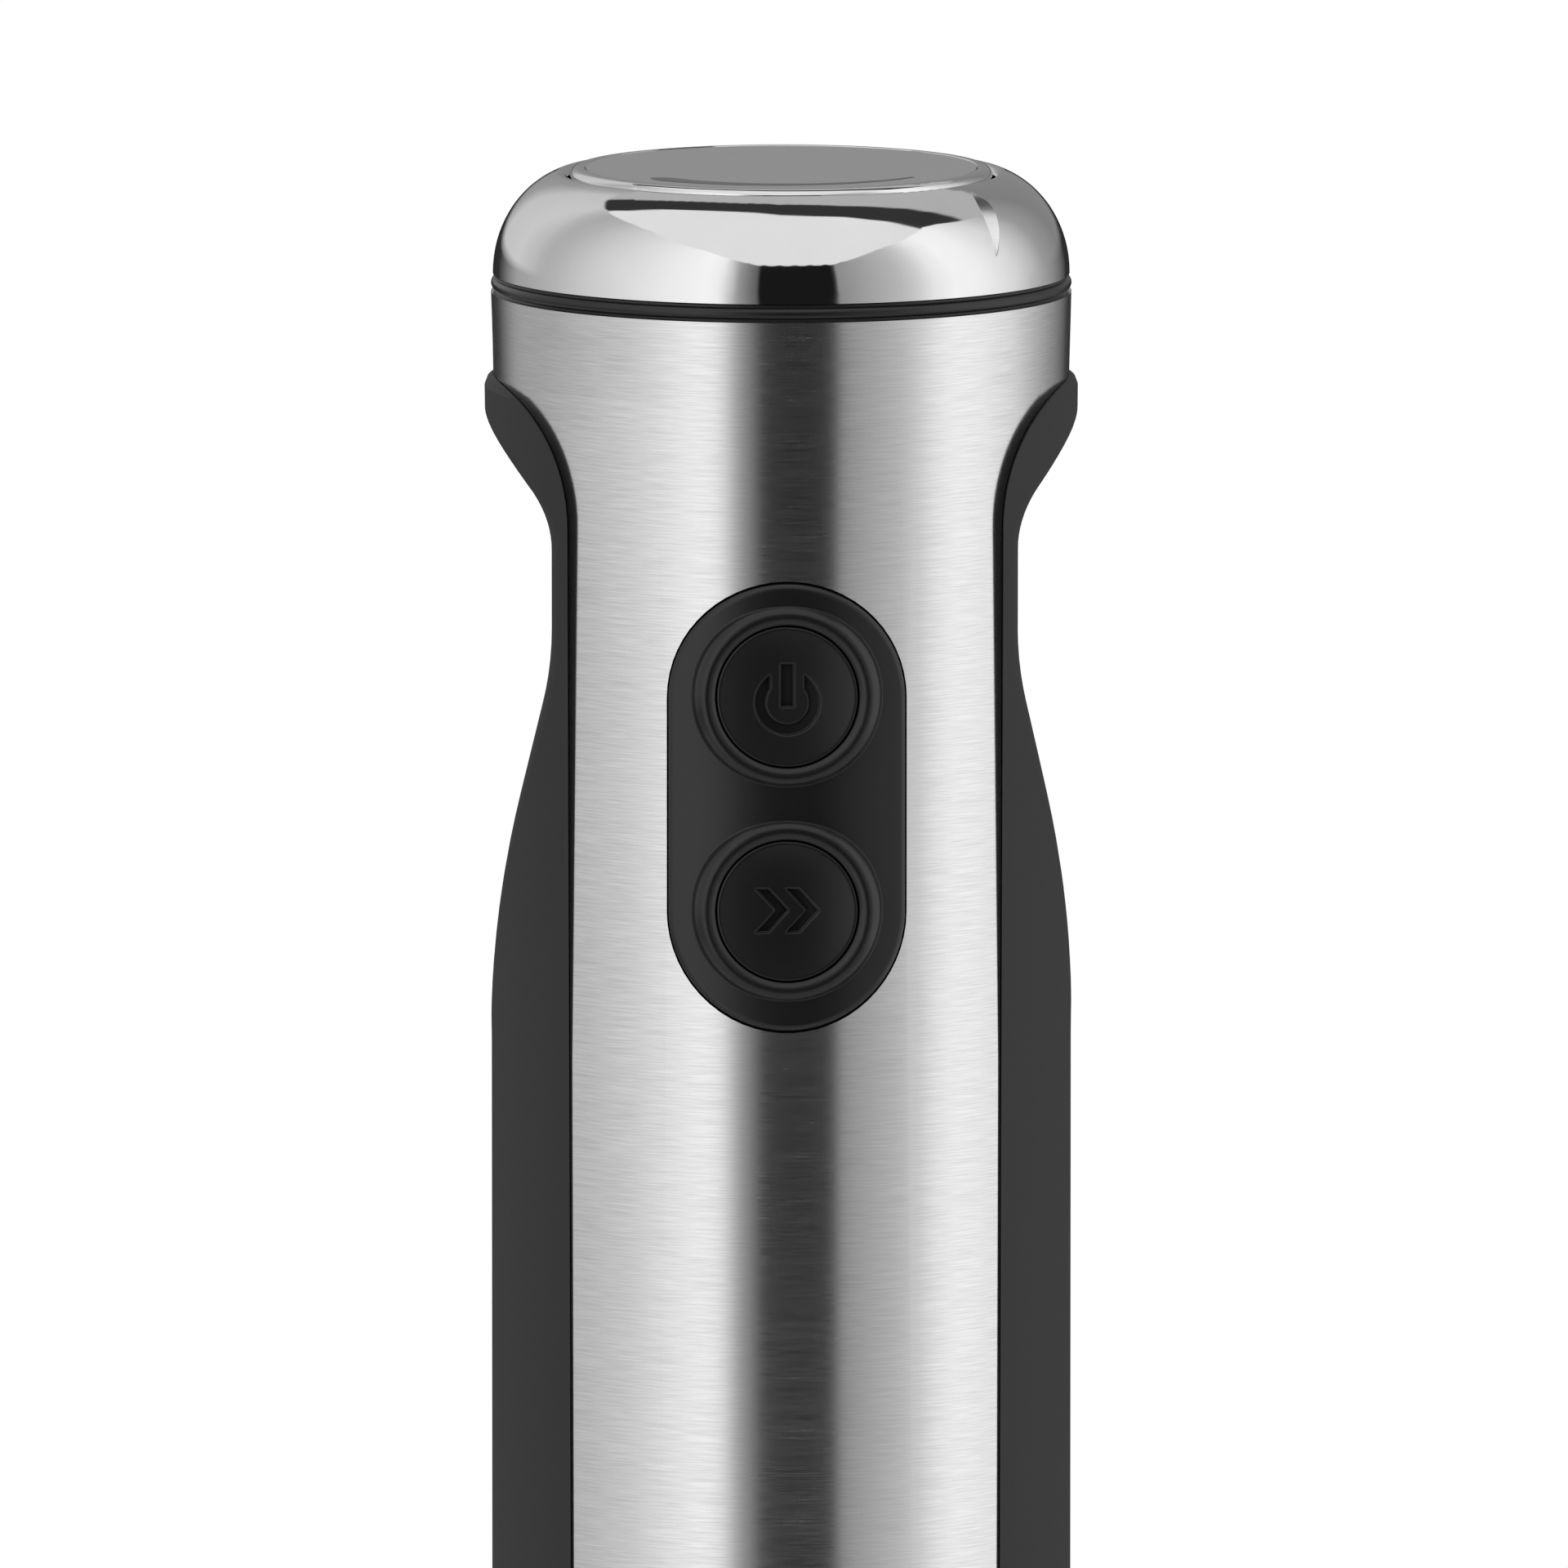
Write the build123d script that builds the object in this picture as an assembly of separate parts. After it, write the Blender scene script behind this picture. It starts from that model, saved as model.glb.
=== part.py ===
from build123d import *
import os
from math import cos, pi, radians, sin, tan

# Immersion blender, standing upright on the rim of its bell. Millimetres and degrees.
# Origin: centre of the rim's bottom plane. +Z runs up the axis; -Y is the front, with the buttons.

# Driving dimensions -------------------------------------------------------------------------------
HEIGHT = 405.0              # bell rim to the face of the centre disc
HANDLE_R = 31.5             # rubber grips and top edge of the sleeve
SLEEVE_R = 31.25            # steel sleeve beside the buttons
SLEEVE_WALL = 0.7
LIP_R = 32.2                # widest point of the grips, just under the dial
DIAL_R = 31.3
BELL_R = 33.5

DIAL_LOW = HEIGHT - 11.5    # underside of the chrome dial
SEAL_HEIGHT = 1.9
SLEEVE_HIGH = DIAL_LOW - 2.0
SLEEVE_LOW = 208.0
LIP_HIGH = HEIGHT - 22.5    # top of the grips
CHASSIS_HIGH = HEIGHT - 22.2

WAIST_DEPTH = 24.2          # axis to the flat of the waist
WAIST_TURN = 3.0            # the two flats close towards the back by this angle each
GRIP_WALL = 2.4
CHASSIS_R = 30.3
CHASSIS_WALL = 1.7
FIT_GAP = 0.1

PAD_Z = HEIGHT - 66.1
PAD_LENGTH, PAD_WIDTH = 48.8, 25.6
PAD_R = 31.6
PAD_BACK = 25.5
BUTTON_PITCH = 23.2
BUTTON_R = 7.65
BUTTON_FRONT = 31.9
BUTTON_GAP = 0.12           # between a button and the pad
RING_R = 8.75               # crest of the soft ring round each button
RING_RISE = 0.4             # crest above the button's rim

DISC_R = 21.2
BEZEL_R = 22.9
DIAL_BORE_R = 23.2
GEAR_MODULE = 0.7
RING_TEETH, PINION_TEETH = 56, 20
PINION_OFFSET = GEAR_MODULE * (RING_TEETH - PINION_TEETH) / 2
POT_STUB_R = 2.0
POINTER_TILT = 22.0

GLAND_Z = HEIGHT - 31.0
GLAND_BORE_R = 3.6

MOTOR_SHAFT_R = 2.5
SHAFT_FIT = 0.02            # parts pressed on a shaft
RUNNING_FIT = 0.06          # parts a shaft turns in
STATOR_LOW, STATOR_HIGH = 232.0, 268.0
STATOR_R = 24.5

COLLAR_LOW = 177.7
TUBE_R = 14.0
TUBE_WALL = 0.8
RELEASE_Z = 192.5

os.makedirs("parts", exist_ok=True)
STAND = (Align.CENTER, Align.CENTER, Align.MIN)


# Shared shapes ------------------------------------------------------------------------------------
def rod(radius, low, high):
    return Pos(0, 0, low) * Cylinder(radius, high - low, align=STAND)


def ring(outer, inner, low, high):
    return rod(outer, low, high) - rod(inner, low, high)


def turned(*outline):
    """Solid of revolution about the axis; its seam lies at the back."""
    return Rot(0, 0, 90) * revolve(Plane.XZ * Polygon(*outline, align=None), Axis.Z)


def block(x, y, z):
    """Box from three (low, high) pairs."""
    size = [high - low for low, high in (x, y, z)]
    return Pos(x[0], y[0], z[0]) * Box(*size, align=(Align.MIN, Align.MIN, Align.MIN))


def pressed(sketch, back, front):
    """Prism from a front-view sketch, between two distances forward of the axis."""
    return extrude(Plane.XZ.offset(back) * sketch, amount=front - back)


def both_sides(right):
    return right + mirror(right, Plane.YZ)


def about(count, shape):
    """Copies of one shape, evenly spaced about the axis."""
    copies = [Rot(0, 0, 360 * i / count) * shape for i in range(count)]
    return copies[0].fuse(*copies[1:])


# Handle outline -----------------------------------------------------------------------------------
def waist_cut(inset):
    """Prism that takes away the right side of the handle outside the finger waist."""
    flat = WAIST_DEPTH - inset
    outside = 31.6 - inset
    far = 45.0
    line = FilletPolyline(
        (36.0 - inset, HEIGHT - 22.8),
        (flat, HEIGHT - 36.1),
        (flat, HEIGHT - 52.2),
        (outside, HEIGHT - 82.2),
        (outside, HEIGHT - 110.0),
        radius=[9.0, 34.0, 130.0],
    )
    rest = Polyline(line @ 1, (far, HEIGHT - 110.0), (far, HEIGHT - 22.8), line @ 0)
    face = make_face(Plane.XZ * (line + rest))
    return Rot(0, 0, WAIST_TURN) * extrude(face, amount=far, both=True)


def grip_region(gap):
    """Right-hand window of the sleeve, in which the grip shows; gap makes it smaller."""
    side, low, far = 22.3 + gap, SLEEVE_LOW - 1.0, 45.0
    middle = HEIGHT - 37.0
    arch = EllipticalCenterArc((33.0, middle), 10.7 - gap, 14.9 - gap, 90, arc_size=90)
    edge = Line(arch @ 1, (side - 0.4, low))
    rest = Polyline(edge @ 1, (far, low), (far, (arch @ 0).Y), arch @ 0)
    face = make_face(Plane.XZ * (arch + edge + rest))
    return Rot(0, 0, WAIST_TURN) * extrude(face, amount=far, both=True)


def waisted_core(radius, inset, low, high):
    """Inside shape of the handle: a cylinder with both waists cut into it."""
    cuts = waist_cut(inset)
    return rod(radius, low, high) - cuts - mirror(cuts, Plane.YZ)


def right_grip():
    skin = turned(
        (0, SLEEVE_LOW + FIT_GAP), (HANDLE_R, SLEEVE_LOW + FIT_GAP), (HANDLE_R, HEIGHT - 95.0),
        (LIP_R, LIP_HIGH - 1.2), (LIP_R - 0.3, LIP_HIGH - 0.4), (LIP_R - 0.8, LIP_HIGH), (0, LIP_HIGH),
    )
    body = skin - waist_cut(0)
    rim = [
        edge for edge in body.edges()
        if edge.bounding_box().min.X > 22 and edge.geom_type != GeomType.CIRCLE
        and edge.bounding_box().size.Z > 3
    ]
    body = fillet(ShapeList(rim), 3.0)
    core = waisted_core(CHASSIS_R + FIT_GAP, GRIP_WALL, SLEEVE_LOW, LIP_HIGH + 1.0)
    return (body - core) & grip_region(FIT_GAP)


# Sleeve and chassis -------------------------------------------------------------------------------
def stadium(grow):
    return Pos(0, PAD_Z) * SlotOverall(PAD_LENGTH + 2 * grow, PAD_WIDTH + 2 * grow, rotation=90)


def gland_hole(radius, back=20.0, front=40.0):
    return Rot(0, 0, 180) * pressed(Pos(0, GLAND_Z) * Circle(radius), back, front)


def steel_sleeve():
    outside = [(SLEEVE_R, SLEEVE_LOW), (SLEEVE_R, LIP_HIGH), (HANDLE_R, SLEEVE_HIGH)]
    inside = [(r - SLEEVE_WALL, z) for r, z in reversed(outside)]
    tube = turned(*outside, *inside)
    tube -= both_sides(grip_region(0))
    return tube - pressed(stadium(0.15), 20, 40) - gland_hole(4.9)


SCREW_PLACES = [(22.0, 306.0), (22.0, 330.0), (22.0, 352.0), (-21.0, 306.0)]


def chassis():
    """Both clamshell halves in one, with the screw bosses that join them."""
    outer = waisted_core(CHASSIS_R, GRIP_WALL + FIT_GAP, SLEEVE_LOW, CHASSIS_HIGH)
    inner = waisted_core(CHASSIS_R - CHASSIS_WALL, GRIP_WALL + FIT_GAP + 1.8, SLEEVE_LOW, CHASSIS_HIGH)
    shell = outer - inner
    for y, z in SCREW_PLACES:
        wall = CHASSIS_R - 1.0 if y > 0 else 1.0 - CHASSIS_R
        rib = block((-7, 7), sorted((y, wall)), (z - 2.5, z + 2.5)) & outer
        shell += rib + Pos(0, y, z) * Rot(0, 90, 0) * Cylinder(3.2, 14)
        shell -= Pos(0, y, z) * Rot(0, 90, 0) * Cylinder(1.3, 15)
    return shell - pressed(stadium(1.9), 15, 40) - gland_hole(4.9)


def chassis_screws():
    screws = []
    for y, z in SCREW_PLACES:
        shank = Rot(0, 90, 0) * Cylinder(1.28, 14)
        head = Pos(8.1, 0, 0) * Rot(0, 90, 0) * Cylinder(2.4, 2.2)
        screws.append(Pos(0, y, z) * (shank + head))
    return Compound(screws)


# Dial, disc and speed control ---------------------------------------------------------------------
def dial_crown(grow):
    """Solid under the dial's rounded outside: a quarter ellipse that rolls over into the bezel groove."""
    dome = EllipticalCenterArc((DIAL_R - 10.0, DIAL_LOW), 10.0 + grow, 11.45 + grow, 0, arc_size=72)
    roll = JernArc(start=dome @ 1, tangent=dome % 1, radius=0.85 + grow, arc_size=100)
    inner = DIAL_BORE_R
    rest = Polyline(roll @ 1, (inner, (roll @ 1).Y - 0.3), (inner, DIAL_LOW), dome @ 0)
    return Rot(0, 0, 90) * revolve(make_face(Plane.XZ * (dome + roll + rest)), Axis.Z)


POINTER_TOP = Vector(20.35, -16.19, DIAL_LOW + 10.1)
POINTER_LOW = Vector(22.81, -20.54, DIAL_LOW + 3.9)


def pointer_prism():
    """Lens-shaped sliver in plan: a nearly straight left edge and a bulging right edge."""
    top, low = Vector(POINTER_TOP.X, POINTER_TOP.Y), Vector(POINTER_LOW.X, POINTER_LOW.Y)
    straight = ThreePointArc(top, (top + low) / 2 + Vector(-0.15, -0.2), low)
    bulge = ThreePointArc(low, (top + low) / 2 + Vector(1.05, 0.85), top)
    return extrude(Pos(0, 0, DIAL_LOW + 2.0) * make_face(straight + bulge), amount=12)


def dial_pointer():
    """Bright metal sliver let into the dial: flush at its left edge, it rises to a sharp right edge."""
    left_edge = Axis(POINTER_TOP, POINTER_LOW - POINTER_TOP)
    tilted = dial_crown(0.05).rotate(left_edge, POINTER_TILT)
    return (tilted & pointer_prism()) - dial_crown(-0.8)


def dial_ring():
    crown = dial_crown(0)
    hollow = turned((24.6, DIAL_LOW), (29.3, DIAL_LOW), (29.3, DIAL_LOW + 4.5), (27.4, DIAL_LOW + 6.6),
                    (24.6, DIAL_LOW + 6.6))
    slot = pointer_prism() - dial_crown(-0.8)
    return crown - hollow - slot


def tooth_outline(teeth, root, tip, root_half, tip_half):
    """Closed outline of a toothed wheel with straight flanks; half widths are along the arc."""
    points = []
    for i in range(teeth):
        middle = 2 * pi * i / teeth
        for radius, half in ((root, -root_half), (tip, -tip_half), (tip, tip_half), (root, root_half)):
            angle = middle + half / radius
            points.append((radius * cos(angle), radius * sin(angle)))
    return Polygon(*points, align=None)


TOOTH_HALF = GEAR_MODULE * pi / 4 - 0.1      # at the pitch circle, with backlash
ADDENDUM, DEDENDUM = 0.6, 0.85
TIP_HALF = TOOTH_HALF - ADDENDUM * tan(radians(20))
ROOT_HALF = TOOTH_HALF + DEDENDUM * tan(radians(20))


def dial_gear_ring():
    """Internal gear under the dial, with the spigot that the dial is pressed on."""
    pitch = GEAR_MODULE * RING_TEETH / 2
    low, high = DIAL_LOW - 7.8, DIAL_LOW - 0.1
    teeth = tooth_outline(RING_TEETH, pitch + DEDENDUM, pitch - ADDENDUM, ROOT_HALF, TIP_HALF)
    half_pitch = 180 / RING_TEETH
    toothed = extrude(Pos(0, 0, low + 1.0) * Rot(0, 0, 90 + half_pitch) * (Circle(28.6) - teeth), amount=4.6)
    spigot = turned((24.7, high - 0.3), (24.7, DIAL_LOW + 6.4), (27.2, DIAL_LOW + 6.4),
                    (29.1, DIAL_LOW + 4.3), (29.1, DIAL_LOW + 0.2), (28.6, high - 0.3))
    return toothed + ring(28.6, 24.7, low + 5.6, high) + spigot


def pot_pinion():
    """Pinion on the potentiometer's stub shaft, with a tooth on the line of centres."""
    pitch = GEAR_MODULE * PINION_TEETH / 2
    teeth = tooth_outline(PINION_TEETH, pitch - DEDENDUM, pitch + ADDENDUM, ROOT_HALF, TIP_HALF)
    wheel = extrude(Pos(0, 0, DIAL_LOW - 6.5) * Rot(0, 0, 90) * teeth, amount=4.0)
    return Pos(0, PINION_OFFSET, 0) * (wheel + rod(POT_STUB_R, DIAL_LOW - 13.0, DIAL_LOW - 6.5))


def potentiometer():
    can = rod(8.0, 374.8, CHASSIS_HIGH)
    neck = rod(3.5, CHASSIS_HIGH, DIAL_LOW - 6.8)
    bore = rod(POT_STUB_R + RUNNING_FIT, DIAL_LOW - 13.2, DIAL_LOW)
    return Pos(0, PINION_OFFSET, 0) * (can + neck - bore)


def top_carrier():
    """Plate that closes the sleeve, with the skirt the dial turns in and the post under the disc."""
    low = CHASSIS_HIGH + 0.1
    plate = rod(30.4, low, low + 2.3)
    skirt = ring(30.4, 28.9, low, SLEEVE_HIGH)
    post = rod(4.0, low, HEIGHT - 4.6)
    head = rod(12.0, HEIGHT - 6.6, HEIGHT - 4.6)
    return plate + skirt + post + head - Pos(0, PINION_OFFSET, 0) * rod(3.6, low - 1, low + 3)


def disc_bezel():
    """Chrome tray whose rounded lip holds the centre disc."""
    low, inside = HEIGHT - 4.6, DISC_R + 0.05
    crown = JernArc(start=(BEZEL_R, HEIGHT - 0.9), tangent=(0, 1), radius=0.9, arc_size=90)
    rest = Polyline(crown @ 1, (inside + 0.15, HEIGHT), (inside, HEIGHT - 0.15), (inside, low + 1.4),
                    (0, low + 1.4), (0, low), (BEZEL_R, low), crown @ 0)
    return Rot(0, 0, 90) * revolve(make_face(Plane.XZ * (crown + rest)), Axis.Z)


def dial_seal():
    """Rubber ring with a round bead along its outside."""
    low, high = SLEEVE_HIGH, SLEEVE_HIGH + SEAL_HEIGHT
    bead = ThreePointArc((31.0, low + 0.3), (31.5, low + 0.95), (31.0, low + 1.6))
    rest = Polyline(bead @ 1, (31.0, high), (28.9, high), (28.9, low), (31.0, low), bead @ 0)
    return Rot(0, 0, 90) * revolve(make_face(Plane.XZ * (bead + rest)), Axis.Z)


# Buttons ------------------------------------------------------------------------------------------
BUTTON_PLACES = {"power": PAD_Z + BUTTON_PITCH / 2 + 0.5, "boost": PAD_Z - BUTTON_PITCH / 2 + 0.4}
DISH_R = 33.7
DISH_DEPTH = 0.8
MARK_DEPTH = 0.6


def button_ring():
    """Soft raised ring, crest at height 0: a short round slope inwards, a long one outwards."""
    outward = EllipticalCenterArc((RING_R, -2.6), 1.5, 2.6, 0, arc_size=90)
    inward = JernArc(start=(RING_R, 0), tangent=(-1, 0), radius=1.3, arc_size=49)
    rest = Polyline(inward @ 1, ((inward @ 1).X, -5), (RING_R + 1.5, -5), outward @ 0)
    return revolve(make_face(Plane.XZ * (outward + inward + rest)), Axis.Z)


def button_pad():
    """Rubber pad with a flange behind the sleeve and a soft ring round each button."""
    face = pressed(stadium(0), PAD_BACK, 40) & rod(PAD_R, 300, 380)
    rim = [e for e in face.edges() if e.center().Y < -27.5 and e.geom_type != GeomType.LINE]
    face = fillet(ShapeList(rim), 0.8)
    flange = pressed(stadium(1.6), PAD_BACK, 40) & rod(SLEEVE_R - SLEEVE_WALL - 0.1, 300, 380)
    pad = face + flange
    for z in BUTTON_PLACES.values():
        pad -= pressed(Pos(0, z) * Circle(BUTTON_R + BUTTON_GAP + 0.3), 20, 40)
        pad += Pos(0, -BUTTON_FRONT - RING_RISE, z) * Rot(90, 0, 0) * button_ring()
    return pad


def pad_backplate():
    plate = pressed(stadium(1.2), 23.9, PAD_BACK - 0.1)
    for z in BUTTON_PLACES.values():
        plate -= pressed(Pos(0, z) * Circle(2.6), 20, 30)
    return plate


def power_mark():
    """On-off sign: an open ring with a bar."""
    broken_ring = Circle(3.55) - Circle(2.3) - Pos(0, 2.9) * Rectangle(3.6, 3.8)
    return Pos(0, -0.7) * broken_ring + Pos(0, 1.15) * Rectangle(1.5, 4.8)


def boost_mark():
    """Two chevrons, for full speed."""
    chevron = Polygon((0, 2.4), (2.2, 0), (0, -2.4), (1.5, -2.4), (3.7, 0), (1.5, 2.4), align=None)
    return Pos(-3.5, 0) * chevron + Pos(-0.2, 0) * chevron


def button(place, mark):
    """Dished cap with an engraved mark, on a stem that reaches for its switch."""
    z = BUTTON_PLACES[place]
    cap = pressed(Circle(BUTTON_R), 27.7, BUTTON_FRONT)
    front = [e for e in cap.edges() if e.center().Y < -BUTTON_FRONT + 0.1]
    cap = fillet(ShapeList(front), 0.25)
    centre = Vector(0, DISH_DEPTH - BUTTON_FRONT - DISH_R, 0)
    cap -= Pos(centre) * Sphere(DISH_R)
    cap -= pressed(mark, 30, 33) & Pos(centre) * Sphere(DISH_R + MARK_DEPTH)
    stem = pressed(Circle(2.2), 23.3, 27.8)
    return Pos(0, 0, z) * (cap + stem)


BOARD_FRONT = 17.4


def control_board():
    return block((-13, 13), (-BOARD_FRONT, 1.6 - BOARD_FRONT), (312, 366))


def push_switch(place):
    z = BUTTON_PLACES[place]
    body = block((-3, 3), (-21.0, -BOARD_FRONT), (z - 3, z + 3))
    return body + pressed(Pos(0, z) * Circle(1.5), 20.9, 21.9)


def noise_capacitor():
    case = block((-9, 9), (1.6 - BOARD_FRONT, -7.5), (344, 358))
    return fillet(case.edges().filter_by(Axis.Y), 1.5)


def triac_heatsink():
    fins = [block((-10 + 4 * i, -8.8 + 4 * i), (1.6 - BOARD_FRONT, -8), (318, 336)) for i in range(6)]
    base = block((-10, 11.2), (1.6 - BOARD_FRONT, 3.2 - BOARD_FRONT), (318, 336))
    return base.fuse(*fins)


def terminal_block():
    body = block((-8, 8), (8, 15), (356, 364))
    for x in (-4.5, 4.5):
        body -= Pos(x, 11.5, 360) * Cylinder(1.8, 10)
    return body


def cord_gland():
    """Rubber bush with a flange that follows the round back of the sleeve."""
    barrel = gland_hole(4.8, 22, 32)
    flange = gland_hole(6.6, 28, 40) & (rod(32.8, 360, 390) - rod(SLEEVE_R + 0.05, 360, 390))
    return (barrel & rod(32.5, 360, 390)) + flange - gland_hole(GLAND_BORE_R)


# Motor --------------------------------------------------------------------------------------------
BEARING_R = 8.0


def bearing_bracket(low, high, cup_low, cup_high, hub_low, hub_high):
    """Cast end bracket: a plate with a hub for the bearing and a cup that grips the stator."""
    plate = ring(26.5, BEARING_R, low, high)
    for i in range(4):
        plate -= Rot(0, 0, 45 + 90 * i) * Pos(16.5, 0, 0) * rod(4.5, low, high)
    cup = ring(26.5, STATOR_R + SHAFT_FIT, cup_low, cup_high)
    return plate + cup + ring(10.5, BEARING_R, hub_low, hub_high)


def motor_stator():
    """Laminated two-pole frame."""
    stack = ring(STATOR_R, 20.0, STATOR_LOW, STATOR_HIGH)
    pole = ring(20.5, 14.2, STATOR_LOW, STATOR_HIGH)
    return stack + (pole & block((-22, 22), (-10, 10), (STATOR_LOW, STATOR_HIGH)))


def field_coils():
    """One winding round each pole, bulging out of both ends of the stator."""
    end = ring(22.5, 15.2, 0, 5) & block((0, 24), (-14, 14), (0, 5))
    coils = []
    for turn in (0, 180):
        for z in (STATOR_LOW - 5.2, STATOR_HIGH + 0.2):
            coils.append(Rot(0, 0, turn) * Pos(0, 0, z) * end)
    return Compound(coils)


def brush_holders():
    right = block((9.0, 21.0), (-4.2, 4.2), (277.6, 285.4)) - block((8, 22), (-2.6, 2.6), (278.9, 284.1))
    return Compound([right, mirror(right, Plane.YZ)])


def carbon_brushes():
    right = block((7.7, 17.0), (-2.5, 2.5), (279.0, 284.0))
    return Compound([right, mirror(right, Plane.YZ)])


def armature_core():
    slot = block((10.4, 14), (-0.9, 0.9), (STATOR_LOW, STATOR_HIGH))
    return ring(13.5, MOTOR_SHAFT_R + SHAFT_FIT, STATOR_LOW, STATOR_HIGH) - about(12, slot)


def armature_windings():
    ends = [(226.2, STATOR_LOW - 0.05), (STATOR_HIGH + 0.05, 274.0)]
    return Compound([ring(12.0, 4.0, low, high) for low, high in ends])


def commutator():
    slot = block((6.6, 8), (-0.3, 0.3), (276, 288))
    return ring(7.5, MOTOR_SHAFT_R + SHAFT_FIT, 276, 288) - about(12, slot)


def cooling_fan():
    vanes = about(9, block((5, 21.5), (-0.6, 0.6), (210, 215)))
    return vanes + ring(22, MOTOR_SHAFT_R + 1, 214.8, 216) + ring(6, MOTOR_SHAFT_R + SHAFT_FIT, 210, 216)


def hexagon(radius, low, high):
    return extrude(Pos(0, 0, low) * RegularPolygon(radius, 6), amount=high - low)


def drive_coupling():
    dog = hexagon(4.6, 184, 196) + rod(6, 196, 201)
    return dog - rod(MOTOR_SHAFT_R + SHAFT_FIT, 187, 202)


# Coupling collar and release buttons --------------------------------------------------------------
def coupling_collar():
    """Black lower end of the handle, drawn in to meet the shaft, with a window for each release button."""
    outside = EllipticalCenterArc((23.2, 198), 8.2, 21.0, -75, arc_size=75)
    inside = EllipticalCenterArc((23.2, 198), 5.8, 18.6, -74, arc_size=74)
    wall = outside + Polyline(outside @ 1, (31.4, 205.9), (8.5, 205.9), (8.5, 203.6), (29.0, 203.6), inside @ 1)
    floor = (inside @ 0).Y
    wall = wall + inside + Polyline(inside @ 0, (22.9, floor), (22.9, COLLAR_LOW), outside @ 0)
    body = Rot(0, 0, 90) * revolve(make_face(Plane.XZ * wall), Axis.Z)
    boss = ring(10.5, 8.5, 196.5, 203.7)
    window = block((25, 40), (-7.2, 7.2), (RELEASE_Z - 5.7, RELEASE_Z + 5.7))
    return body + boss - both_sides(window)


RIB = (ring(32.75, 30.0, -0.45, 0.45) & block((25, 40), (-4.6, 4.6), (-1, 1)))


def right_release():
    """Thumb button with an inner flange and a hook that hangs down beside the coupling."""
    cap = block((25, 40), (-6.8, 6.8), (RELEASE_Z - 5.3, RELEASE_Z + 5.3)) & rod(32.3, 180, 205)
    front = [e for e in cap.edges() if e.center().X > 31]
    cap = fillet(ShapeList(front), 0.7)
    flange = block((24.6, 26.2), (-8.4, 8.4), (RELEASE_Z - 5.4, RELEASE_Z + 7.0))
    arm = block((16.4, 25), (-4, 4), (189, 191.5))
    leg = block((16.4, 18.6), (-4, 4), (181, 190))
    tooth = block((18.5, 19.0), (-2, 2), (181, 183))
    ribs = [Pos(0, 0, RELEASE_Z + 2.4 * i) * RIB for i in (-1, 0, 1)]
    return (cap + flange + arm + leg + tooth).fuse(*ribs)


# Blending shaft -----------------------------------------------------------------------------------
def shaft_collar():
    """Black cap of the shaft: a cup that enters the handle, a shoulder and a socket for the tube."""
    taper = EllipticalCenterArc((15.2, 172), 9.7, 22.0, -80, arc_size=80)
    top = Polyline(taper @ 1, (24.9, 176), (22.3, 176), (22.3, 186.5), (19.3, 186.5), (19.3, 183.4),
                   (20.9, 183.4), (20.9, 179.6), (19.3, 179.6), (19.3, 176), (8.0, 176), (8.0, 170),
                   (9.0, 170), (9.0, 160), (TUBE_R + SHAFT_FIT, 160), (TUBE_R + SHAFT_FIT, (taper @ 0).Y),
                   taper @ 0)
    return Rot(0, 0, 90) * revolve(make_face(Plane.XZ * (taper + top)), Axis.Z)


def blending_bell():
    """Pressed steel bell: a neck over the tube, a flare and a straight skirt with four flow windows."""
    neck, skirt, wall = TUBE_R + SHAFT_FIT, 17.0, 1.0
    flares = []
    for grow in (wall, 0):
        start, end = (neck + grow, 66), (BELL_R - wall + grow, skirt)
        flares.append(Spline(start, end, tangents=((0, -1), (0, -1))))
    outer, inner = flares
    top = Polyline(outer @ 0, (neck + wall, 77.5), (neck + 0.6, 78), (neck, 78), inner @ 0)
    foot = Polyline(outer @ 1, (BELL_R, 0), (BELL_R - wall, 0), inner @ 1)
    body = Rot(0, 0, 90) * revolve(make_face(Plane.XZ * (outer + inner + top + foot)), Axis.Z)
    sketch = Pos(0, 2) * fillet(Rectangle(15, 14).vertices().group_by(Axis.Y)[-1], 4.0)
    window = pressed(sketch, -40, 40)
    return body - window - Rot(0, 0, 90) * window


def lower_bush():
    return ring(TUBE_R - TUBE_WALL, MOTOR_SHAFT_R + RUNNING_FIT, 66, 82)


def blade():
    """Two-wing knife: one tip bent up, one bent down."""
    centre = Polyline((-21.5, -3.4), (-14.5, 0), (14.5, 0), (21.5, 3.4))
    sheet = Plane.XZ * make_face(offset(centre, 0.6, side=Side.BOTH, closed=True).edges())
    wings = extrude(Pos(0, 0, 12.8) * sheet, amount=8, both=True)
    wing = make_face(Polyline((0, -5), (12, -5), (23, -1), (21, 5), (8, 4), (0, 5), close=True))
    plan = extrude(wing + Rot(0, 0, 180) * wing, amount=25)
    return (wings & plan) - rod(4.0, 5, 20)


def blade_hub():
    """Steel hub; the knife sits on its shoulder."""
    hub = rod(4.0 - SHAFT_FIT, 8, 13.5) + rod(6.0, 13.5, 20)
    return hub - rod(MOTOR_SHAFT_R + SHAFT_FIT, 7, 21)


def driven_coupling():
    cup = rod(7.2, 176.5, 192) - hexagon(5.0, 182, 193)
    return cup - rod(MOTOR_SHAFT_R + SHAFT_FIT, 176, 183)


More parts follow.
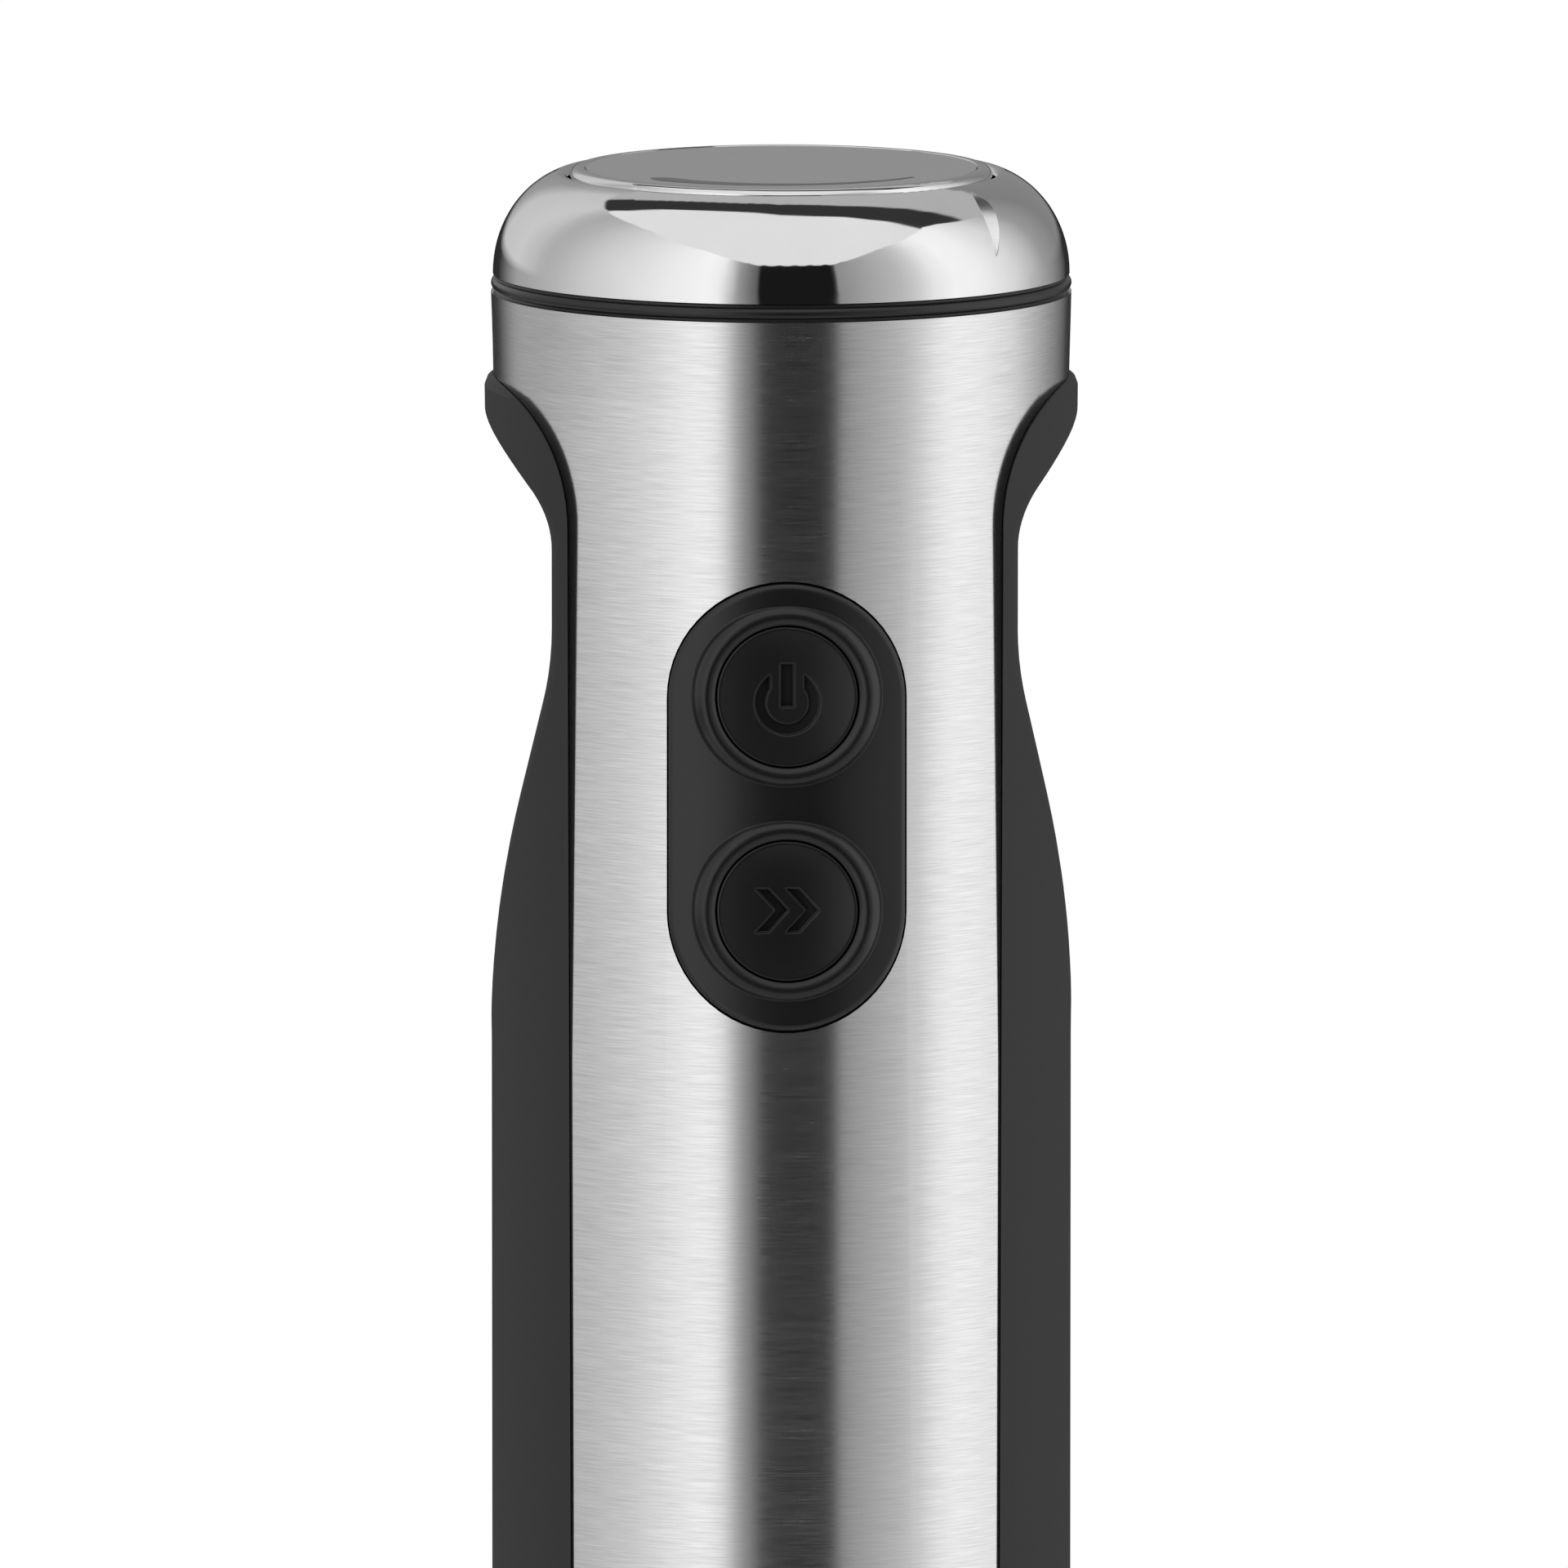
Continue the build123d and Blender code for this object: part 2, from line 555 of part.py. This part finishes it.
grip = right_grip()
shell = chassis()
release = right_release()
half = block((0.05, 40), (-40, 40), (200, 400))
PARTS = {
    "steel_sleeve": steel_sleeve(),
    "grip_right": grip,
    "grip_left": mirror(grip, Plane.YZ),
    "chassis_right": shell & half,
    "chassis_left": shell & mirror(half, Plane.YZ),
    "chassis_screws": chassis_screws(),
    "dial_ring": dial_ring(),
    "dial_pointer": dial_pointer(),
    "dial_gear_ring": dial_gear_ring(),
    "pot_pinion": pot_pinion(),
    "potentiometer": potentiometer(),
    "top_carrier": top_carrier(),
    "disc_bezel": disc_bezel(),
    "centre_disc": rod(DISC_R, HEIGHT - 3.2, HEIGHT - 0.05),
    "dial_seal": dial_seal(),
    "button_pad": button_pad(),
    "pad_backplate": pad_backplate(),
    "power_button": button("power", power_mark()),
    "boost_button": button("boost", boost_mark()),
    "control_board": control_board(),
    "power_switch": push_switch("power"),
    "boost_switch": push_switch("boost"),
    "noise_capacitor": noise_capacitor(),
    "triac_heatsink": triac_heatsink(),
    "terminal_block": terminal_block(),
    "cord_gland": cord_gland(),
    "lower_bearing_bracket": bearing_bracket(218, 221, 218, 236, 218, 225.5),
    "upper_bearing_bracket": bearing_bracket(293, 296, 264, 296, 289, 296),
    "lower_bearing": ring(BEARING_R - SHAFT_FIT, MOTOR_SHAFT_R + RUNNING_FIT, 219, 225),
    "upper_bearing": ring(BEARING_R - SHAFT_FIT, MOTOR_SHAFT_R + RUNNING_FIT, 289.5, 295.5),
    "motor_stator": motor_stator(),
    "field_coils": field_coils(),
    "motor_mount_ring": ring(28.5, STATOR_R + SHAFT_FIT, 240, 260),
    "brush_holders": brush_holders(),
    "carbon_brushes": carbon_brushes(),
    "motor_shaft": rod(MOTOR_SHAFT_R, 187, 299),
    "armature_core": armature_core(),
    "armature_windings": armature_windings(),
    "commutator": commutator(),
    "cooling_fan": cooling_fan(),
    "drive_coupling": drive_coupling(),
    "collar_trim_ring": ring(31.6, 29.0, 206, SLEEVE_LOW - 0.05),
    "coupling_collar": coupling_collar(),
    "release_button_right": release,
    "release_button_left": mirror(release, Plane.YZ),
    "shaft_collar": shaft_collar(),
    "coupling_seal": ring(24.8, 22.5, 176.05, 177.5),
    "shaft_tube": ring(TUBE_R, TUBE_R - TUBE_WALL, 64, 160),
    "blending_bell": blending_bell(),
    "upper_bush": ring(9.0 - SHAFT_FIT, MOTOR_SHAFT_R + RUNNING_FIT, 160.2, 169.8),
    "lower_bush": lower_bush(),
    "shaft_seal": ring(13.9, MOTOR_SHAFT_R + RUNNING_FIT, 59, 63.9),
    "drive_shaft": rod(MOTOR_SHAFT_R, 6.2, 181.9),
    "driven_coupling": driven_coupling(),
    "blade": blade(),
    "blade_hub": blade_hub(),
    "retaining_clip": ring(5.2, MOTOR_SHAFT_R + SHAFT_FIT, 6.6, 7.95),
}
for name, shape in PARTS.items():
    export_step(shape, f"parts/{name}.step")
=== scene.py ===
import bmesh
import bpy
import math
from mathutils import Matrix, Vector


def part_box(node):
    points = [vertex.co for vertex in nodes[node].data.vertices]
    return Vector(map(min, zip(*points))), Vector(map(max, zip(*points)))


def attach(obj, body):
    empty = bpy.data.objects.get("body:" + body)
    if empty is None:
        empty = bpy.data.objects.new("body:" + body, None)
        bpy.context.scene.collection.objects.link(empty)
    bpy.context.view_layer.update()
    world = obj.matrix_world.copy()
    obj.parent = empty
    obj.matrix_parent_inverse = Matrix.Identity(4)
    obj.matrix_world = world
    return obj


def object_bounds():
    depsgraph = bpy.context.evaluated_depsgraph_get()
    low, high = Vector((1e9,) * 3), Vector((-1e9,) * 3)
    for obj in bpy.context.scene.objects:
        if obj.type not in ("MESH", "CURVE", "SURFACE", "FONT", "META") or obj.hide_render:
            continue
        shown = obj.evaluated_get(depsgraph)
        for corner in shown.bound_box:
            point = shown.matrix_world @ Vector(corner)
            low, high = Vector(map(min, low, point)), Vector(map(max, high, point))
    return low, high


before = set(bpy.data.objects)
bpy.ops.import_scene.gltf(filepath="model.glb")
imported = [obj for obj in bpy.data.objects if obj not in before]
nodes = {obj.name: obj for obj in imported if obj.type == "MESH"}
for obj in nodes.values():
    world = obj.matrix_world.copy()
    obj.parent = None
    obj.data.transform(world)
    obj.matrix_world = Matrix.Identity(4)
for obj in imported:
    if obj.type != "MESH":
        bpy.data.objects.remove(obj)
cad_low, cad_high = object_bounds()
MM = 0.001


# ---- Steel sleeve --------------------------------------------------------------------------------
# The handle's skin: a drawn tube of 0.7 mm stainless steel, open at both sides for the grips and at
# the front for the button pad. It is brushed round the handle with a 180 grit belt and slides over
# the chassis from below.

def linear(hex_colour):
    """An sRGB hex colour as the linear RGBA that Blender's sockets take."""
    channels = []
    for start in (0, 2, 4):
        value = int(hex_colour[start:start + 2], 16) / 255
        channels.append(value / 12.92 if value <= 0.04045 else ((value + 0.055) / 1.055) ** 2.4)
    return (*channels, 1.0)


def add(tree, kind, inputs=None, **settings):
    """One node with its settings; inputs maps a socket's name or number to a value or to another socket."""
    node = tree.nodes.new(kind)
    for name, value in settings.items():
        setattr(node, name, value)
    for socket, value in (inputs or {}).items():
        if isinstance(value, bpy.types.NodeSocket):
            tree.links.new(value, node.inputs[socket])
        else:
            node.inputs[socket].default_value = value
    return node


def mapped(tree, value, low, high, start=0.0, end=1.0):
    """A value carried from the range low to high over to start to end, and held at those ends."""
    return add(tree, "ShaderNodeMapRange", {
        "Value": value, "From Min": low, "From Max": high, "To Min": start, "To Max": end}).outputs[0]


def mixed(tree, share, first, second):
    """Two numbers mixed by a share."""
    return add(tree, "ShaderNodeMix", {0: share, 2: first, 3: second}, data_type="FLOAT").outputs[0]


def tinted(tree, share, first, second):
    """Two colours mixed by a share."""
    return add(tree, "ShaderNodeMix", {0: share, 6: first, 7: second}, data_type="RGBA").outputs[2]


def computed(tree, operation, *values):
    """The result of one step of arithmetic."""
    return add(tree, "ShaderNodeMath", dict(enumerate(values)), operation=operation).outputs[0]


def noise(tree, place, cell, detail, roughness=0.5):
    """Cloudy noise between 0 and 1 with cells of the given size."""
    return add(tree, "ShaderNodeTexNoise", {
        "Vector": place, "Scale": 1 / cell, "Detail": detail, "Roughness": roughness}).outputs[0]


def start_material(name, **sockets):
    """A material with only its shader, and the constants that are the same all over its surface."""
    material = bpy.data.materials.new(name)
    material.use_nodes = True
    tree = material.node_tree
    shader = tree.nodes["Principled BSDF"]
    for socket, value in sockets.items():
        shader.inputs[socket.replace("_", " ")].default_value = value
    return material, tree, shader


def surface(tree, shader, colour, gloss, relief, strength, depth, smooth=None):
    """Links a colour, a roughness and a relief of the given depth to the shader."""
    bump = add(tree, "ShaderNodeBump", {"Height": relief, "Strength": strength, "Distance": depth})
    if smooth:
        tree.links.new(smooth, bump.inputs["Normal"])
    tree.links.new(colour, shader.inputs["Base Color"])
    tree.links.new(gloss, shader.inputs["Roughness"])
    tree.links.new(bump.outputs[0], shader.inputs["Normal"])


def dress(material, *names):
    for name in names:
        mesh = nodes[name].data
        mesh.materials.clear()
        mesh.materials.append(material)


PATTERN_R = 31 * MM      # radius at which the pattern's lengths round the axis are true
STREAK_LENGTH, STREAK_HEIGHT = 30 * MM, 1.3 * MM
SCRATCH_DEPTH = 0.004 * MM
SCRATCH_GLOSS = 0.05


def unrolled(tree, length, height):
    """Object coordinates unrolled round the axis, counted in cells of the given length and height."""
    split = add(tree, "ShaderNodeSeparateXYZ", {0: add(tree, "ShaderNodeTexCoord").outputs["Object"]})
    turn = computed(tree, "ARCTAN2", split.outputs["Y"], split.outputs["X"])
    distance = computed(tree, "MULTIPLY", turn, PATTERN_R)
    joined = add(tree, "ShaderNodeCombineXYZ", {"X": distance, "Z": split.outputs["Z"]})
    scale = (1 / length, 1.0, 1 / height)
    return add(tree, "ShaderNodeMapping", {"Vector": joined.outputs[0], "Scale": scale}).outputs[0]


def lined_metal(name, pale, dark, roughness, line=0.14 * MM, length=5 * MM, spread=0.7):
    """Metal brushed, turned or wound round the axis: fine level lines that smear a reflection upwards."""
    material, tree, shader = start_material(
        name, Metallic=1.0, Anisotropic=spread, Anisotropic_Rotation=0.25)
    tangent = add(tree, "ShaderNodeTangent", direction_type="RADIAL", axis="Z")
    tree.links.new(tangent.outputs[0], shader.inputs["Tangent"])
    scratches = noise(tree, unrolled(tree, length, line), 1.0, 4.0, 0.6)
    streaks = noise(tree, unrolled(tree, STREAK_LENGTH, STREAK_HEIGHT), 1.0, 4.0)
    wear = mixed(tree, 0.15, scratches, streaks)
    colour = tinted(tree, mapped(tree, wear, 0.32, 0.68), linear(dark), linear(pale))
    gloss = mapped(tree, wear, 0.3, 0.7, roughness + SCRATCH_GLOSS, roughness - SCRATCH_GLOSS)
    surface(tree, shader, colour, gloss, scratches, 0.2, SCRATCH_DEPTH)
    return material


sleeve_steel = lined_metal("stainless_brushed_round", "F3F3F3", "DCDCDC", 0.23)
dress(sleeve_steel, "steel_sleeve")


# ---- Side grips and release buttons --------------------------------------------------------------
# Soft-touch thermoplastic rubber moulded over the chassis, matte charcoal with a spark-eroded
# grain of about 0.2 mm. The release buttons are moulded from the same rubber.

TONE_DRIFT = 18 * MM
MOULD_GLOSS = 0.08


def moulded(name, pale, dark, roughness, grain, depth, rounding=0.0, **sockets):
    """Moulded rubber or plastic: a fine grain, a slow drift in tone and slightly uneven gloss.

    With rounding, its edges catch the light over that radius and painted shade darkens its narrow hollows."""
    material, tree, shader = start_material(name, **sockets)
    place = add(tree, "ShaderNodeTexCoord").outputs["Object"]
    fine = noise(tree, place, grain, 3.0)
    slow = noise(tree, place, TONE_DRIFT, 4.0)
    colour = tinted(tree, mixed(tree, 0.35, slow, fine), linear(dark), linear(pale))
    gloss = mapped(tree, slow, 0.0, 1.0, roughness - MOULD_GLOSS, roughness + MOULD_GLOSS)
    smooth = None
    if rounding:
        smooth = add(tree, "ShaderNodeBevel", {"Radius": rounding}, samples=8).outputs[0]
        # Painted shade: an occlusion test turns the colour near black in narrow hollows such as engravings
        # and gaps.
        occlusion_for_painted_shade = add(tree, "ShaderNodeAmbientOcclusion", {"Distance": 3 * rounding}, samples=8)
        unshaded_share = mapped(tree, occlusion_for_painted_shade.outputs["AO"], 0.4, 0.9)
        colour = tinted(tree, unshaded_share, linear("050505"), colour)
    surface(tree, shader, colour, gloss, fine, 0.35, depth, smooth)
    return material


grip_rubber = moulded("soft_touch_rubber", "3C3C3E", "343436", 0.6, 0.22 * MM, 0.03 * MM, IOR=1.36)
dress(grip_rubber, "grip_left", "grip_right", "release_button_left", "release_button_right")


# ---- Button pad and buttons ----------------------------------------------------------------------
# One silicone pad moulded black, with a polished mould face that gives it a low sheen; the two caps
# are separate and their marks are engraved 0.6 mm deep.

# Its rounding also paints shade, near black, into the engraved marks and into the narrow gaps round the
# caps and seals.
pad_rubber = moulded("black_silicone", "212122", "1B1B1C", 0.27, 0.16 * MM, 0.006 * MM, 0.3 * MM, IOR=1.5)
dress(pad_rubber, "button_pad", "power_button", "boost_button", "dial_seal", "coupling_seal",
      "motor_mount_ring", "shaft_seal")


# ---- Speed dial, bezel and centre disc -----------------------------------------------------------
# The dial and the bezel are ABS plated with bright chrome; the disc is moulded ABS sprayed a satin
# mid grey, with the speed scale printed on it as a tapering arc.

RIPPLE_CELL, RIPPLE_DEPTH = 9 * MM, 0.1 * MM
GREASE_CELL = 5 * MM


def bright_chrome(name):
    """Plated ABS: a mirror with a trace of mould ripple and of finger grease."""
    material, tree, shader = start_material(name, Metallic=1.0)
    place = add(tree, "ShaderNodeTexCoord").outputs["Object"]
    ripple = noise(tree, place, RIPPLE_CELL, 1.0)
    grease = noise(tree, place, GREASE_CELL, 5.0)
    colour = tinted(tree, grease, linear("F2F2F3"), linear("E9E9EA"))
    gloss = mapped(tree, grease, 0.35, 0.75, 0.025, 0.075)
    surface(tree, shader, colour, gloss, ripple, 0.05, RIPPLE_DEPTH)
    return material


chrome = bright_chrome("chrome_plated_abs")
dress(chrome, "dial_ring", "disc_bezel", "collar_trim_ring")
pearl = lined_metal("pearl_nickel_plating", "FAFAFA", "F0F0F0", 0.2, 0.05 * MM, 3 * MM, 0.0)
dress(pearl, "dial_pointer")
disc_paint = moulded("satin_grey_lacquer", "B6B6B7", "B0B0B1", 0.3, 0.12 * MM, 0.004 * MM, IOR=1.48)
dress(disc_paint, "centre_disc")

SCALE_R = 17.4 * MM
SCALE_HALF_TURN = math.radians(54)
SCALE_HALF_WIDE, SCALE_HALF_NARROW = 1.5 * MM, 0.3 * MM
ROUNDED_SHARE = 1 / 9      # part of the wedge's length that its round end takes up
INK_THICKNESS = 0.03 * MM


def speed_scale():
    """A thin film of ink: a round-ended wedge along an arc in front of the centre."""
    mesh = bmesh.new()
    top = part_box("centre_disc")[1][2]
    bmesh.ops.create_grid(mesh, x_segments=64, y_segments=1, size=0.5)
    for vert in mesh.verts:
        share = vert.co.x + 0.5
        angle = SCALE_HALF_TURN * (2 * share - 1)
        half = SCALE_HALF_WIDE * (1 - share) + SCALE_HALF_NARROW * share
        rounded = math.sqrt(max(0.0, 1 - max(0.0, 1 - share / ROUNDED_SHARE) ** 2))
        radius = SCALE_R + 2 * vert.co.y * half * rounded
        vert.co = (radius * math.sin(angle), -radius * math.cos(angle), top + INK_THICKNESS)
    bmesh.ops.remove_doubles(mesh, verts=mesh.verts, dist=1e-7)
    bmesh.ops.recalc_face_normals(mesh, faces=mesh.faces)
    data = bpy.data.meshes.new("speed_scale")
    mesh.to_mesh(data)
    mesh.free()
    piece = bpy.data.objects.new("speed_scale", data)
    bpy.context.scene.collection.objects.link(piece)
    return piece


scale_ink = moulded("printed_ink", "787879", "727273", 0.35, 0.3 * MM, 0.002 * MM)
scale_film = speed_scale()
scale_film.data.materials.append(scale_ink)
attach(scale_film, "motor_handle")


# ---- Collar, shaft cap and cord gland ------------------------------------------------------------
# Black glass-filled nylon, moulded with a fine leathery grain that hides handling marks. The top
# carrier and the two halves of the drive coupling inside are moulded from it too.

black_nylon = moulded("moulded_black_nylon", "262627", "1E1E1F", 0.45, 0.35 * MM, 0.02 * MM, IOR=1.5)
dress(black_nylon, "coupling_collar", "shaft_collar", "cord_gland", "top_carrier", "drive_coupling",
      "driven_coupling")


# ---- Shaft tube, bell and blade ------------------------------------------------------------------
# Deep-drawn stainless steel, turned against fine abrasive, so that it keeps a satin gloss with level
# scratches that are longer and softer than the sleeve's. The knife is ground from spring steel.

satin_steel = lined_metal("stainless_satin", "E9E8E6", "D6D5D3", 0.24, 0.2 * MM, 14 * MM, 0.6)
dress(satin_steel, "shaft_tube", "blending_bell")
ground_steel = lined_metal("ground_spring_steel", "D4D4D6", "B9B9BC", 0.28, 0.25 * MM, 6 * MM, 0.3)
dress(ground_steel, "blade", "blade_hub", "retaining_clip", "drive_shaft", "motor_shaft", "upper_bearing",
      "lower_bearing", "chassis_screws")


# ---- Chassis and inner mouldings -----------------------------------------------------------------
# The hidden frame of the handle: two shells in plain grey nylon, held together by screws. The dial's
# gears, the plate behind the buttons and the motor's fan are of the same nylon.

grey_nylon = moulded("moulded_grey_nylon", "56565A", "4A4A4E", 0.55, 0.4 * MM, 0.02 * MM)
dress(grey_nylon, "chassis_left", "chassis_right", "dial_gear_ring", "pot_pinion", "pad_backplate",
      "cooling_fan")


# ---- Motor, brushes and control board ------------------------------------------------------------
# A universal motor between two die-cast aluminium brackets: stacked steel laminations, enamelled
# copper coils, carbon brushes in brass holders. The board above it carries the switches.

cast_aluminium = moulded("die_cast_aluminium", "C2C2C4", "A9A9AC", 0.42, 0.5 * MM, 0.03 * MM, Metallic=1.0)
dress(cast_aluminium, "upper_bearing_bracket", "lower_bearing_bracket", "triac_heatsink", "potentiometer")
lamination = lined_metal("stacked_laminations", "7C7C80", "4E4E52", 0.45, 0.5 * MM, 40 * MM, 0.2)
dress(lamination, "motor_stator", "armature_core")
copper = lined_metal("enamelled_copper_wire", "C9743F", "8A4A24", 0.35, 0.45 * MM, 60 * MM, 0.3)
dress(copper, "field_coils", "armature_windings", "commutator")
brass = moulded("drawn_brass", "C9A55A", "B08E48", 0.3, 0.6 * MM, 0.01 * MM, Metallic=1.0)
dress(brass, "brush_holders", "upper_bush", "lower_bush")
carbon = moulded("pressed_carbon", "232323", "161616", 0.6, 0.3 * MM, 0.03 * MM)
dress(carbon, "carbon_brushes")
solder_mask = moulded("green_solder_mask", "1F5A3C", "174A30", 0.35, 0.8 * MM, 0.02 * MM)
dress(solder_mask, "control_board")
component = moulded("moulded_component", "2A3350", "1E2438", 0.4, 0.3 * MM, 0.01 * MM)
dress(component, "power_switch", "boost_switch", "noise_capacitor", "terminal_block")


# ---- Floor, light and camera ---------------------------------------------------------------------
# A pale floor, and one light surround: two tall side panels with a dark gap between them in front, a
# bright panel overhead, a dark gap behind that and dimmer panels at the back.

FLOOR_R = 0.6


def floor_disc():
    mesh = bmesh.new()
    bmesh.ops.create_circle(mesh, cap_ends=True, segments=96, radius=FLOOR_R)
    data = bpy.data.meshes.new("floor")
    mesh.to_mesh(data)
    mesh.free()
    floor = bpy.data.objects.new("floor", data)
    bpy.context.scene.collection.objects.link(floor)
    return floor


floor = floor_disc()
floor.data.materials.append(moulded("pale_floor", "F0F0EF", "ECECEB", 0.7, 2 * MM, 0.01 * MM))

GLOW = 2.0      # strength of the whole surround; each brightness below is a share of plain white
PANEL_LIGHT, GAP_LIGHT, BEYOND_LIGHT = 0.84, 0.036, 0.48
LOW_LEFT_LIGHT, BACKDROP_LIGHT = 0.04, 1.0
# Along Y: where the overhead panel ends, and where the dark gap behind it ends.
PANEL_END, GAP_END = (0.05, 0.08), (0.38, 0.42)
PANEL_SLANT, PANEL_LEFT_SLANT = 0.17, 0.5
# Brightness by compass angle, in degrees to the right of the front.
SIDE_LIGHT = [
    (-180, 0.02), (-157, 0.03), (-149, 0.12), (-133, 0.38), (-104, 0.52), (-85, 0.68), (-60, 0.86),
    (-46, 0.98), (-32, 1.05), (-26, 0.98), (-19, 0.36), (-14, 0.2), (-11.2, 0.13), (-10.6, 0.01),
    (21.0, 0.01), (21.6, 0.28), (27, 0.34), (48, 0.54), (55, 0.68), (63, 0.92), (72, 1.05), (87, 1.0),
    (107, 0.77), (119, 0.54), (133, 0.34), (152, 0.12), (159, 0.03), (180, 0.02)]
# The same behind the object above the floor line, where a long pale panel stands.
BACK_LIGHT = [
    (-180, 0.26), (-168, 0.34), (-158, 0.6), (-135, 0.66), (-112, 0.5), (112, 0.7), (130, 0.36),
    (150, 0.24), (180, 0.26)]
# Angle above the floor at which the overhead panel begins, by the same compass angle.
PANEL_EDGE = [
    (-180, 34), (-155, 42), (-130, 47), (-100, 52), (-80, 52), (-42, 44), (-11, 31), (21, 31), (52, 44),
    (90, 52), (100, 50), (130, 36), (160, 34), (180, 32)]


def compass_ramp(tree, turn, rows, scale):
    """A colour ramp over the compass angle from rows of (degrees, value)."""
    node = add(tree, "ShaderNodeValToRGB", {0: turn})
    stops = node.color_ramp.elements
    while len(stops) < len(rows):
        stops.new(0.5)
    for stop, (degrees, value) in zip(stops, rows):
        stop.position = (degrees + 180) / 360
        stop.color = (value * scale, value * scale, value * scale, 1)
    return node.outputs[0]


def overhead_light(tree, across, along):
    """The overhead panel, the dark gap behind it, and the space beyond the gap."""
    left = computed(tree, "MINIMUM", across, 0.0)
    slant = computed(tree, "MULTIPLY_ADD", across, PANEL_SLANT, along)
    slant = computed(tree, "MULTIPLY_ADD", left, PANEL_LEFT_SLANT, slant)
    near = mapped(tree, slant, *PANEL_END, PANEL_LIGHT / GLOW, GAP_LIGHT / GLOW)
    return mixed(tree, mapped(tree, slant, *GAP_END), near, BEYOND_LIGHT / GLOW)


def upright_light(tree, turn, rise, across, along):
    """The side panels, dimmed low on the left, and the pale panel behind them."""
    side = compass_ramp(tree, turn, SIDE_LIGHT, 1 / GLOW)
    leftward = mapped(tree, across, -0.6, -0.9, 0.0, 0.6)
    shade = computed(tree, "MULTIPLY", mapped(tree, rise, -0.1, -0.16), leftward)
    side = mixed(tree, shade, side, LOW_LEFT_LIGHT / GLOW)
    behind = compass_ramp(tree, turn, BACK_LIGHT, 1 / GLOW)
    rear = computed(tree, "MULTIPLY", mapped(tree, along, 0.3, 0.5), mapped(tree, rise, -0.01, 0.03))
    return mixed(tree, rear, side, behind)


def light_surround():
    world = bpy.data.worlds.new("studio")
    bpy.context.scene.world = world
    world.use_nodes = True
    tree = world.node_tree
    tree.nodes.clear()
    split = add(tree, "ShaderNodeSeparateXYZ", {0: add(tree, "ShaderNodeTexCoord").outputs["Generated"]})
    across, along, up = split.outputs
    frontward = computed(tree, "MULTIPLY", along, -1.0)
    turn = mapped(tree, computed(tree, "ARCTAN2", across, frontward), -math.pi, math.pi)
    rise = computed(tree, "MULTIPLY", computed(tree, "ARCSINE", up), 2 / math.pi)
    edge = compass_ramp(tree, turn, PANEL_EDGE, 1 / 90)
    above = mapped(tree, computed(tree, "SUBTRACT", rise, edge), -0.004, 0.004)
    upright = upright_light(tree, turn, rise, across, along)
    light = mixed(tree, above, upright, overhead_light(tree, across, along))
    seen = add(tree, "ShaderNodeLightPath").outputs["Is Camera Ray"]
    final = mixed(tree, seen, light, BACKDROP_LIGHT / GLOW)
    glow = add(tree, "ShaderNodeBackground", {"Color": final, "Strength": GLOW})
    add(tree, "ShaderNodeOutputWorld", {"Surface": glow.outputs[0]})


light_surround()
bpy.context.scene.view_settings.view_transform = "Standard"

CAMERA_TURN, CAMERA_RISE = math.radians(-1.2), math.radians(7.25)
CAMERA_DISTANCE = 4.0
FRAME_WIDTH = 0.1704
aim = Vector((0.3 * MM, 0.0, cad_high[2] - 67.5 * MM))
camera_data = bpy.data.cameras.new("camera")
camera_data.lens = camera_data.sensor_width * CAMERA_DISTANCE / FRAME_WIDTH
camera_data.clip_end = 100.0
camera = bpy.data.objects.new("camera", camera_data)
bpy.context.scene.collection.objects.link(camera)
away = Vector((math.sin(CAMERA_TURN) * math.cos(CAMERA_RISE),
               -math.cos(CAMERA_TURN) * math.cos(CAMERA_RISE), math.sin(CAMERA_RISE)))
camera.location = aim + CAMERA_DISTANCE * away
camera.rotation_euler = away.to_track_quat("Z", "Y").to_euler()
bpy.context.scene.camera = camera
